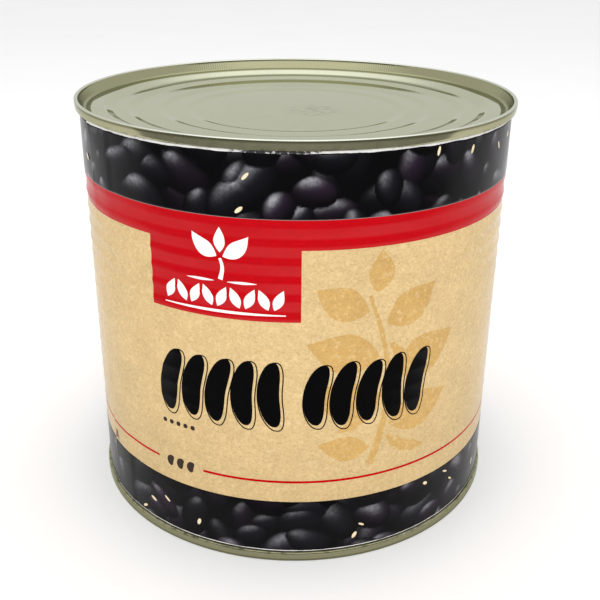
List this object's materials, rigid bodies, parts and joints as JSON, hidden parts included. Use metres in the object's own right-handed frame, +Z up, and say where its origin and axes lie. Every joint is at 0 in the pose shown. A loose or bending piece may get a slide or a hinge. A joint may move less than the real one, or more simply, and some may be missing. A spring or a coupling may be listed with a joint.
{
  "type": "canned beans",
  "caption": "Large shut tin of beans with rolled seams, stepped ends and a printed paper label wrapped round its wall.",
  "frame": {"origin": "middle of the ring that the tin stands on", "axes": "+Z up along the tin's axis, the front of the label faces -Y"},
  "size_m": [0.157, 0.157, 0.1485],
  "materials": {
    "tinplate": "lacquered tinplate, satin, pale olive",
    "wall_tin": "bare tinplate, satin",
    "label_paper": "printed paper, kraft brown with red and black bands, semi-gloss"
  },
  "bodies": {
    "root": {"top_end": "tinplate", "bottom_end": "tinplate", "can_wall": "wall_tin", "label": "label_paper"}
  },
  "joints": []
}
